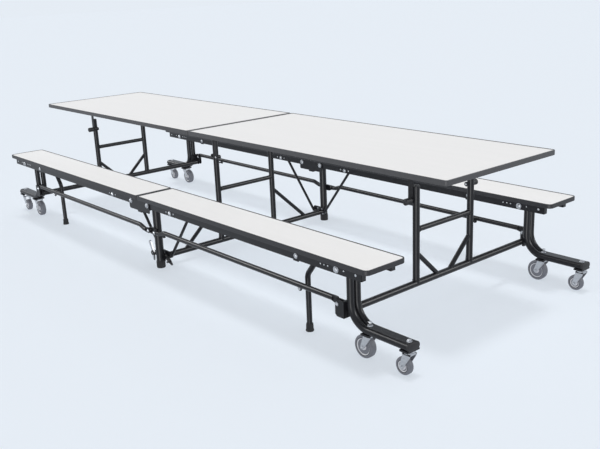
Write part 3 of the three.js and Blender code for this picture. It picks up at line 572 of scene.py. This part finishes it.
# Benches, with their rods, drop legs and lock braces
def bench_rails(name, s, centre, leg_top):
    rails = Piece(f"{name}_ladder")
    end = RAIL_X[1]
    low, high = RAIL_Z
    for side in (-1, 1):
        out = (0, side, 0)
        inner, face = (centre + side * y for y in RAIL_Y)
        rails.add(box(s * RAIL_X[0], s * end, inner, face, low, high))
        plug_x = [s * (end + x) for x in RAIL_PLUG]
        plug_y = (inner + side * RAIL_PLUG_IN, face - side * RAIL_PLUG_IN)
        rails.add(box(*plug_x, *plug_y, low + RAIL_PLUG_IN, high - RAIL_PLUG_IN), CAP)
        rails.bolt((s * BRACE_TOP[0], face, BRACE_BOLT_Z), out, RAIL_BOLT_R, height=5)
        rails.bolt((s * leg_top, face, BENCH_PIVOT_Z), out, RAIL_BOLT_R, height=4)
        lug = [(leg_top + x, z) for x, z in LEG_LUG]
        rails.add(plate(mirrored(lug, s), face - side * STRAP, face - side * LUG_IN))
        rivets = [(BRACE_TOP[0] + x, BRACE_RIVET_Z, RIVET_R) for x in BRACE_RIVETS]
        rivets += [(BENCH_PIVOT_X[1] + x, PIVOT_RIVET_Z, SMALL_RIVET_R) for x in PIVOT_RIVETS]
        rivets += [(end - END_RIVET, END_RIVET_Z, LARGE_RIVET_R)]
        for x, z, radius in rivets:
            rails.rivet((s * x, face, z), out, radius)
    for x in TIE_X:
        rails.add(box(s * (x - TIE_HALF), s * (x + TIE_HALF), centre - BENCH_TIE_Y, centre + BENCH_TIE_Y,
                      high - TIE, high))
    for x, z in ((leg_top, BENCH_PIVOT_Z), BRACE_TOP):
        rails.add(bar(s * x, z, centre - RAIL_PIN_Y, centre + RAIL_PIN_Y, PIVOT_PIN_R))
    rails.make(name, [f"{name}_rails"])


def bent_rod(place, s, o, leg_x):
    """A rod that is flat at both pivots, with a collar where the drop leg's pin goes through."""
    piece = Piece(f"{place}_bent_rod")
    y = o * ROD_Y
    inner, outer = ROD_PIVOT_X
    z = ROD_PIVOT_Z
    line = z + ROD_RISE
    start, rise, level = (inner + x for x in ROD_START)
    run = [(start, z), (rise, z), (level, line), (outer - ROD_END, line)]
    piece.add(tube(upright(mirrored(run, s), y), ROD_R, ROD_BEND))
    x0 = inner + INNER_FLAT
    inner_flat = arc(inner, z, FLAT_R, 90, 270) + [(x0, z - FLAT_HALF), (x0, z + FLAT_HALF)]
    x1, x2 = (outer - x for x in OUTER_FLAT)
    outer_flat = arc(outer, z, FLAT_R, 190, 420) + [(x2, line + FLAT_HALF)]
    outer_flat += [(x1, line + FLAT_HALF), (x1, line - FLAT_HALF)]
    for flat in (inner_flat, outer_flat):
        piece.add(plate(mirrored(flat, s), y - FLAT, y + FLAT))
    piece.add(turned(COLLAR, (s * leg_x, y, z), (0, 1, 0)))
    piece.make(f"{place}_rod", [f"{place}_rod"])


def drop_leg(place, s, o, leg):
    piece = Piece(f"{place}_bent_drop_leg")
    x, y = leg["x"], o * DROP_Y
    crook = [(x + dx, z) for dx, z in leg["crook"]]
    run = [(x + DROP_LEAN, BENCH_PIVOT_Z)] + crook + [(x, DROP_FOOT_Z)]
    piece.add(tube(upright(mirrored(run, s), y), DROP_R, leg["bend"]))
    piece.add(sleeve(s * (x + DROP_LEAN), BENCH_PIVOT_Z, o * BENCH_Y, DROP_SLEEVE_R))
    piece.add(bar(s * x, ROD_PIVOT_Z, y, o * (ROD_Y + DROP_PIN), PIN_R))
    piece.bolt((s * x, o * (ROD_Y + DROP_NUT), ROD_PIVOT_Z), (0, o, 0), radius=6, height=3.5)
    piece.make(f"{place}_drop_leg", [f"{place}_drop_leg"])
    foot = Piece(f"{place}_rubber_ferrule")
    foot.add(turned(FERRULE, (s * x, y, 0), (0, 0, 1), sides=40), RUBBER)
    foot.make(f"{place}_drop_leg", [f"{place}_ferrule"])


def lock_brace(place, s, o):
    piece = Piece(f"{place}_thin_brace")
    top_x, top_z = BRACE_TOP
    foot_x, foot_z = BRACE_FOOT
    piece.add(tube(upright(mirrored([BRACE_TOP, BRACE_FOOT], s), o * BRACE_Y), BRACE_R))
    piece.add(sleeve(s * top_x, top_z, o * BENCH_Y, SLEEVE_R))
    inner, outer = o * (BRACE_Y - BRACE_R), o * (CATCH_Y[1] + CATCH_PAST)
    piece.add(bar(s * foot_x, foot_z, inner, outer, BRACE_FOOT_R))
    piece.bolt((s * foot_x, inner, foot_z), (0, -o, 0), radius=5.5, height=4, washer=False)
    piece.make(f"{place}_lock_brace", [f"{place}_lock_brace"])


def bench_half(end, s, side, o):
    place = f"{side}_{end}"
    name = f"{place}_bench"
    leg = DROP_LEG[side]
    # The benches' moulding is the darker copy, with painted shade.
    board(name, name, BENCH, s, o * BENCH_Y, BENCH_BAND_PAINTED_SHADE)
    bench_rails(name, s, o * BENCH_Y, leg["x"] + DROP_LEAN)
    bent_rod(place, s, o, leg["x"])
    drop_leg(place, s, o, leg)
    lock_brace(place, s, o)


# End frames, swept supports and casters
def post_frame(piece, x, size):
    """A low cross tube with two posts, a rail between them and two struts."""
    low, post_y, rail_z = size["tube_z"], size["post_y"], size["rail_z"]
    piece.add(bar(x, low, -size["reach"], size["reach"], POST_R))
    piece.add(bar(x, rail_z, -post_y, post_y, CROSS_R))
    for side in (-1, 1):
        y = side * post_y
        piece.add(tube([(x, y, low), (x, y, size["post_top"])], POST_R))
        piece.add(tube([(x, y, size["strut_top"]), (x, side * size["strut_foot"], low)], STRUT_R))
        piece.weld((x, y, low + POST_R + WELD_RISE), (0, 0, 1), POST_R)
        piece.weld((x, y - side * POST_R, rail_z), (0, 1, 0), CROSS_R, bead=2.2)
        piece.add(turned(POST_CAP, (x, y, size["post_top"]), (0, 0, 1)), CAP)


def end_frame(end, s):
    piece = Piece(f"{end}_welded_end_frame")
    post_frame(piece, s * END_FRAME_X, END_FRAME)
    x, z = s * TABLE_PIVOT_X[1], TABLE_PIVOT_Z
    for side in (-1, 1):
        y = side * END_FRAME["post_y"]
        piece.add(bar(x, z, y - POST_R, y + POST_R, SLEEVE_R))
        piece.add(bar(x, z, y - side * TABLE_PIN_BACK, y + side * TABLE_PIN_END, PIVOT_PIN_R))
        piece.bolt((x, y + side * TABLE_NUT, z), (0, side, 0), radius=6, height=4, washer=False)
        piece.bolt((x, y - side * POST_R, z), (0, -side, 0), radius=6, height=4, washer=False)
    piece.make(f"{end}_end", [f"{end}_end_frame"])


def foot_plug(s, centre):
    """The plug that closes both tubes at a foot's end."""
    cap = arc(SWOOP_HALF, 0, FOOT_PLUG_R, -90, 90, 12) + arc(-SWOOP_HALF, 0, FOOT_PLUG_R, 90, 270, 12)
    rings = []
    for dx, shrink in FOOT_PLUG:
        rings.append([(s * (FOOT_END + dx), centre + y * shrink, FOOT_Z + z * shrink) for y, z in cap])
    return skin(rings)


def rod_bracket(piece, s, o):
    """A block beside the swept tubes, with two cheeks and a pin for the rod."""
    x0 = END_FRAME_X + POST_R + BRACKET_CLEAR
    x1 = BENCH_PIVOT_X[1] - SWOOP_R + BRACKET_INTO
    y = o * ROD_Y
    pin_x = ROD_PIVOT_X[1]
    low, high = BRACKET_Z
    inner = o * (BENCH_Y - SWOOP_HALF)
    piece.add(box(s * x0, s * x1, inner, y + o * BRACKET_HALF, low, high))
    cheek = [(x1, low), (x1, high)]
    cheek += arc(pin_x - BRACKET_CORNER, high - BRACKET_CORNER, BRACKET_CORNER, 90, 180, 5)
    cheek += [(pin_x - 2 * BRACKET_CORNER, low + BRACKET_HEEL[1]), (pin_x - BRACKET_HEEL[0], low)]
    for out in (-1, 1):
        face = y + out * BRACKET_GAP
        piece.add(plate(mirrored(cheek, s), face, face + out * STRAP))
        piece.bolt((s * pin_x, face + out * STRAP, ROD_PIVOT_Z), (0, out, 0), radius=6.5, height=4)
    piece.add(bar(s * pin_x, ROD_PIVOT_Z, y - BRACKET_HALF, y + BRACKET_HALF, PIN_R))


def swoop(end, s, side, o):
    """Twin tubes swept from the bench's pivot down to the foot that carries the casters."""
    place = f"{side}_{end}"
    centre = o * BENCH_Y
    x = BENCH_PIVOT_X[1]
    piece = Piece(f"{place}_swept_support")
    run = mirrored([(x, BENCH_PIVOT_Z), (x, FOOT_Z), (FOOT_END, FOOT_Z)], s)
    for offset in (-SWOOP_HALF, SWOOP_HALF):
        piece.add(tube(upright(run, centre + offset), SWOOP_R, SWOOP_BEND, sides=32))
    piece.add(sleeve(s * x, BENCH_PIVOT_Z, centre, SWOOP_SLEEVE_R, sides=32))
    for out in (-1, 1):
        piece.bolt((s * x, centre + out * RAIL_Y[1], BENCH_PIVOT_Z), (0, out, 0), radius=10.5, height=6)
    piece.add(box(s * (x + SWOOP_BEND), s * FOOT_END, centre - FOOT_WEB_HALF, centre + FOOT_WEB_HALF,
                  FOOT_Z + FOOT_WEB_RISE, FOOT_Z + FOOT_FACE))
    piece.add(foot_plug(s, centre), CAP)
    rod_bracket(piece, s, o)
    half_x, half_y = CASTER_PLATE_HALF
    for caster in (FIXED, SWIVEL):
        stem = caster["stem"]
        x0, x1 = s * (stem - half_x), s * (stem + half_x)
        piece.add(box(x0, x1, centre - half_y, centre + half_y, *CASTER_PLATE_Z))
        piece.bolt((s * stem, centre, FOOT_Z + FOOT_FACE), (0, 0, 1), radius=9, height=caster["foot_bolt"])
    piece.make(f"{end}_end", [f"{place}_swoop"])


def fork(name, body, node, s, centre, caster):
    piece = Piece(name)
    stem, radius, top = caster["stem"], caster["radius"], caster["top"]
    axle = stem - caster["trail"]
    inside = caster["width"] / 2 + FORK_GAP
    outer = inside + STRAP
    x0, x1 = stem - FORK_HALF, stem + FORK_HALF
    cheek = arc(axle, radius, FORK_EYE, 165, 345, 12)
    cheek += [(x1 + x, top - z) for x, z in FORK_FRONT] + [(x0, top), (x0, top - FORK_BACK)]
    for out in (-1, 1):
        piece.add(plate(mirrored(cheek, s), centre + out * inside, centre + out * outer), ZINC)
        piece.bolt((s * axle, centre + out * outer, radius), (0, out, 0), radius=5.5, height=4)
    piece.add(box(s * x0, s * x1, centre - outer, centre + outer, top - FORK_HEAD, top), ZINC)
    piece.add(bar(s * axle, radius, centre - outer, centre + outer, PIN_R), ZINC)
    if top < CASTER_TOP:
        piece.add(turned(RACE, (s * stem, centre, top), (0, 0, 1), sides=40), ZINC)
    piece.make(body, [node])


def wheel(name, node, s, centre, caster):
    """A tread on a core, with a seam between them and a disc in the tread's darker grey laid in the core's
    recess as painted shade, all the same on both faces.
    """
    piece = Piece(name)
    radius = caster["radius"]
    half = caster["width"] / 2
    rim = radius - TREAD_DEPTH
    axle = (s * (caster["stem"] - caster["trail"]), centre, radius)
    tread = [(radius - 13, 1.5), (radius - 10, 0.3), (radius - 5, 0.3), (radius - 2, 2), (radius - 0.4, 5)]
    tread += [(radius, 8)]
    core = [(6, -1.6), (13, -1.6), (14, 0.5), (15, 4.5), (rim - 6, 4.5), (rim - 3, 1.2), (rim, 1.2)]
    seam = [(rim - 1.6, 0.8), (rim + 1, 0.8)]
    # A thin disc in the core's recess, coloured darker than the core: painted shade in the recess.
    painted_shade_web = [(14.4, 4.1), (rim - 5.6, 4.1)]
    layers = ((tread, 56, TREAD), (core, 48, CORE), (seam, 48, RUBBER), (painted_shade_web, 48, TREAD))
    for face, sides, material in layers:
        profile = [(r, depth - half) for r, depth in face]
        profile += [(r, half - depth) for r, depth in reversed(face)]
        piece.add(turned(profile, axle, (0, 1, 0), sides, closed=True), material)
    piece.make(node, [node])


def casters(end, s, side, o):
    place = f"{side}_{end}"
    centre = o * BENCH_Y
    fork(f"{place}_rigid_fork", f"{end}_end", f"{place}_fixed_fork", s, centre, FIXED)
    fork(f"{place}_turning_fork", f"{place}_swivel_fork", f"{place}_swivel_fork", s, centre, SWIVEL)
    wheel(f"{place}_large_wheel", f"{place}_fixed_wheel", s, centre, FIXED)
    wheel(f"{place}_small_wheel", f"{place}_swivel_wheel", s, centre, SWIVEL)


# Centre frame, legs and release lever
def catch_outline():
    """A catch plate with a finger beside each of two brace feet."""
    low, high = CATCH_Z
    x0, x1, tip = CATCH_FINGER
    half = [(x0, low), (x0, tip), (x1, tip), (x1, low), (CATCH_HALF, low)]
    half += [(CATCH_HALF, high - CATCH_CORNER), (CATCH_HALF - CATCH_CORNER, high)]
    return half + [(-x, z) for x, z in reversed(half)]


def centre_frame():
    piece = Piece("welded_centre_frame")
    post_frame(piece, 0, CENTRE_FRAME)
    head = TABLE_PIVOT_X[0]
    z = TABLE_PIVOT_Z
    half_y, half_z = HINGE_HEAD
    for side in (-1, 1):
        y = side * CENTRE_FRAME["post_y"]
        piece.add(box(-head, head, y - half_y, y + half_y, z - half_z, z + half_z))
        for x, out in ((-head, 1), (head, -1)):
            piece.add(bar(x, z, y - out * half_y, y + out * POST_R, SLEEVE_R))
            piece.add(bar(x, z, y, y + out * TABLE_PIN_END, PIVOT_PIN_R))
            piece.bolt((x, y + out * TABLE_NUT, z), (0, out, 0), radius=6, height=4, washer=False)
        y0, y1 = (side * v for v in CATCH_Y)
        piece.add(plate(catch_outline(), y0, y1))
        bolt_x, bolt_z = CATCH_BOLT
        for x in (-bolt_x, bolt_x):
            piece.bolt((x, y0, bolt_z), (0, -side, 0), radius=5, height=3.5, washer=False)
    piece.make("centre", ["centre_frame"])


def leg_fittings(piece, centre):
    """The lever's lug, a guard strip, a latch plate with its roller, and a clip."""
    x, z = LEVER_PIVOT
    lug = arc(x, z, LUG_R, 90, 270) + [(0, z - LUG_R), (0, z + LUG_R)]
    piece.add(plate(lug, centre - LUG_Y[0], centre - LUG_Y[1]))
    piece.add(bar(x, z, centre - LUG_PIN_Y[0], centre - LUG_PIN_Y[1], PIN_R))
    piece.bolt((x, centre - LUG_NUT, z), (0, -1, 0), radius=7, height=4)
    piece.add(box(*GUARD_X, centre - GUARD_HALF, centre + GUARD_HALF, *GUARD_Z))
    piece.add(plate(LATCH, centre + LATCH_Y[0], centre + LATCH_Y[1]))
    x, z = LATCH_ROLLER
    back, front = (centre + y for y in LATCH_ROLLER_Y)
    piece.add(bar(x, z, back, front, LATCH_ROLLER_R), CAP)
    piece.bolt((x, front, z), (0, -1, 0), radius=6, height=4, washer=False)
    for x0, x1, half, z0, z1 in (CLIP_ARM, CLIP_HEAD):
        piece.add(box(x0, x1, centre - half, centre + half, z0, z1))


def centre_leg(side, o):
    centre = o * BENCH_Y
    piece = Piece(f"{side}_saddle_leg")
    piece.add(tube([(0, centre, LEG_LOW), (0, centre, LEG_TOP)], LEG_R, sides=44))
    piece.add(turned(LEG_FOOT, (0, centre, 0), (0, 0, 1), sides=44), RUBBER)
    half_x, half_y = SADDLE_HALF
    piece.add(box(-half_x, half_x, centre - half_y, centre + half_y, *SADDLE_Z))
    strap = arc(*STRAP_LOW, -90, 0, 5) + arc(*STRAP_HIGH, 0, 90, 9)
    strap += [(-x, z) for x, z in reversed(strap)]
    for out in (-1, 1):
        face = centre + out * STRAP_FACE
        piece.add(plate(strap, face, face + out * STRAP))
        for x in (-BENCH_PIVOT_X[0], BENCH_PIVOT_X[0]):
            piece.add(bar(x, BENCH_PIVOT_Z, centre + out * STRAP_PIN_Y, face + out * STRAP / 2, PIVOT_PIN_R))
            piece.bolt((x, face + out * STRAP, BENCH_PIVOT_Z), (0, out, 0), radius=10, height=5.5)
    face = centre + o * ROD_PLATE_FACE
    pin_x = ROD_PIVOT_X[0]
    rod_plate = arc(-pin_x, ROD_PIVOT_Z, ROD_PLATE_R, 90, 270) + arc(pin_x, ROD_PIVOT_Z, ROD_PLATE_R, -90, 90)
    piece.add(plate(rod_plate, face - o * ROD_PLATE, face))
    for x in (-pin_x, pin_x):
        piece.add(bar(x, ROD_PIVOT_Z, face, face + o * ROD_PIN, PIN_R))
        piece.bolt((x, face + o * ROD_NUT, ROD_PIVOT_Z), (0, o, 0), radius=6.5, height=4)
    piece.weld((0, centre, LEG_FOOT[-1][1]), (0, 0, 1), LEG_R, bead=2.0)
    if side == "near":
        leg_fittings(piece, centre)
    piece.make("centre", [f"{side}_centre_leg"])


def release_lever():
    y = -BENCH_Y - LEVER_GAP
    piece = Piece("zinc_release_lever")
    x0, z0 = LEVER_PIVOT
    x1, z1 = LEVER_END
    lean = math.degrees(math.atan2(z1 - z0, x1 - x0))
    lever = arc(x0, z0, LEVER_R, lean + 90, lean + 270) + arc(x1, z1, LEVER_R, lean - 90, lean + 90)
    piece.add(plate(lever, y, y - LEVER), ZINC)
    piece.add(plate(LEVER_TAIL, y - LEVER_TAIL_IN, y - LEVER + LEVER_TAIL_IN), ZINC)
    piece.add(turned(LEVER_ROLLER, (x0, y, z0), (0, 1, 0), sides=48, closed=True), CAP)
    piece.make("release_lever", ["release_lever"])


SIDES = (("near", -1), ("far", 1))
for end, s in (("left", -1), ("right", 1)):
    table_half(end, s)
    end_frame(end, s)
    for side, o in SIDES:
        bench_half(end, s, side, o)
        swoop(end, s, side, o)
        casters(end, s, side, o)
centre_frame()
for side, o in SIDES:
    centre_leg(side, o)
release_lever()

# Floor, light and camera
PALE = (0.787, 0.843, 0.909)
FLOOR_PAINT = (0.8, 0.856, 0.92)
FLOOR_MATT = 0.8
FLOOR_REACH = 60
SKY = (0.97, 0.98, 1.0)
SKY_STRENGTH = 0.36
AZIMUTH, ELEVATION, ROLL = 49.8555, 16.7311, -2.465
CAMERA_PLACE = (3.7436, -2.7468, 1.487)
SENSOR = 36
FOCAL_PIXELS = 795.9
PICTURE_WIDTH = 600


def floor():
    """A pale floor, part of whose tone is its own, so that shadows stay soft."""
    made = bpy.data.meshes.new("floor")
    reach = FLOOR_REACH
    made.from_pydata([(-reach, -reach, 0), (reach, -reach, 0), (reach, reach, 0), (-reach, reach, 0)], [],
                     [(0, 1, 2, 3)])
    ground = bpy.data.objects.new("floor", made)
    bpy.context.scene.collection.objects.link(ground)
    paint = bpy.data.materials.new("pale_floor")
    paint.use_nodes = True
    nodes, links = paint.node_tree.nodes, paint.node_tree.links
    nodes.clear()
    out = nodes.new("ShaderNodeOutputMaterial")
    mix = nodes.new("ShaderNodeMixShader")
    mix.inputs["Fac"].default_value = FLOOR_MATT
    glow = nodes.new("ShaderNodeEmission")
    glow.inputs["Color"].default_value = (*PALE, 1)
    matt = nodes.new("ShaderNodeBsdfDiffuse")
    matt.inputs["Color"].default_value = (*FLOOR_PAINT, 1)
    links.new(glow.outputs[0], mix.inputs[1])
    links.new(matt.outputs[0], mix.inputs[2])
    links.new(mix.outputs[0], out.inputs["Surface"])
    made.materials.append(paint)


def sun(name, strength, direction, angle, shadow=True):
    data = bpy.data.lights.new(name, "SUN")
    data.use_shadow = shadow
    data.energy = strength
    data.angle = math.radians(angle)
    lamp = bpy.data.objects.new(name, data)
    lamp.rotation_euler = Vector(direction).to_track_quat("-Z", "Y").to_euler()
    bpy.context.scene.collection.objects.link(lamp)


def world():
    """A pale backdrop for the camera and for reflections, and a dimmer light for the rest."""
    made = bpy.data.worlds.new("studio")
    made.use_nodes = True
    nodes, links = made.node_tree.nodes, made.node_tree.links
    nodes.clear()
    out = nodes.new("ShaderNodeOutputWorld")
    seen = nodes.new("ShaderNodeBackground")
    seen.inputs["Color"].default_value = (*PALE, 1)
    lit = nodes.new("ShaderNodeBackground")
    lit.inputs["Color"].default_value = (*SKY, 1)
    lit.inputs["Strength"].default_value = SKY_STRENGTH
    path = nodes.new("ShaderNodeLightPath")
    mix = nodes.new("ShaderNodeMixShader")
    shown = path.outputs["Is Camera Ray"]
    for kind in ("Is Glossy Ray", "Is Transmission Ray"):
        either = nodes.new("ShaderNodeMath")
        either.operation = "MAXIMUM"
        links.new(shown, either.inputs[0])
        links.new(path.outputs[kind], either.inputs[1])
        shown = either.outputs[0]
    links.new(shown, mix.inputs["Fac"])
    links.new(lit.outputs[0], mix.inputs[1])
    links.new(seen.outputs[0], mix.inputs[2])
    links.new(mix.outputs[0], out.inputs["Surface"])
    bpy.context.scene.world = made


def camera():
    azimuth, elevation, roll = (math.radians(v) for v in (AZIMUTH, ELEVATION, ROLL))
    flat = math.cos(elevation)
    back = Vector((math.sin(azimuth) * flat, -math.cos(azimuth) * flat, math.sin(elevation)))
    level = Vector((math.cos(azimuth), math.sin(azimuth), 0))
    up = back.cross(level)
    right = level * math.cos(roll) + up * math.sin(roll)
    top = up * math.cos(roll) - level * math.sin(roll)
    data = bpy.data.cameras.new("camera")
    data.sensor_fit = "HORIZONTAL"
    data.sensor_width = SENSOR
    data.lens = SENSOR * FOCAL_PIXELS / PICTURE_WIDTH
    made = bpy.data.objects.new("camera", data)
    made.matrix_world = turn_to(right, top, back, CAMERA_PLACE)
    bpy.context.scene.collection.objects.link(made)
    bpy.context.scene.camera = made


floor()
world()
sun("overhead", strength=0.52, direction=(0.06, -0.04, -1.0), angle=11)
sun("left", strength=1.65, direction=(0.73, 0.36, -0.57), angle=20, shadow=False)
sun("right", strength=1.3, direction=(-0.65, -0.62, -0.42), angle=18, shadow=False)
sun("front", strength=1.5, direction=(-0.56, 0.8, 0.2), angle=26, shadow=False)
camera()
bpy.context.scene.view_settings.view_transform = "Standard"
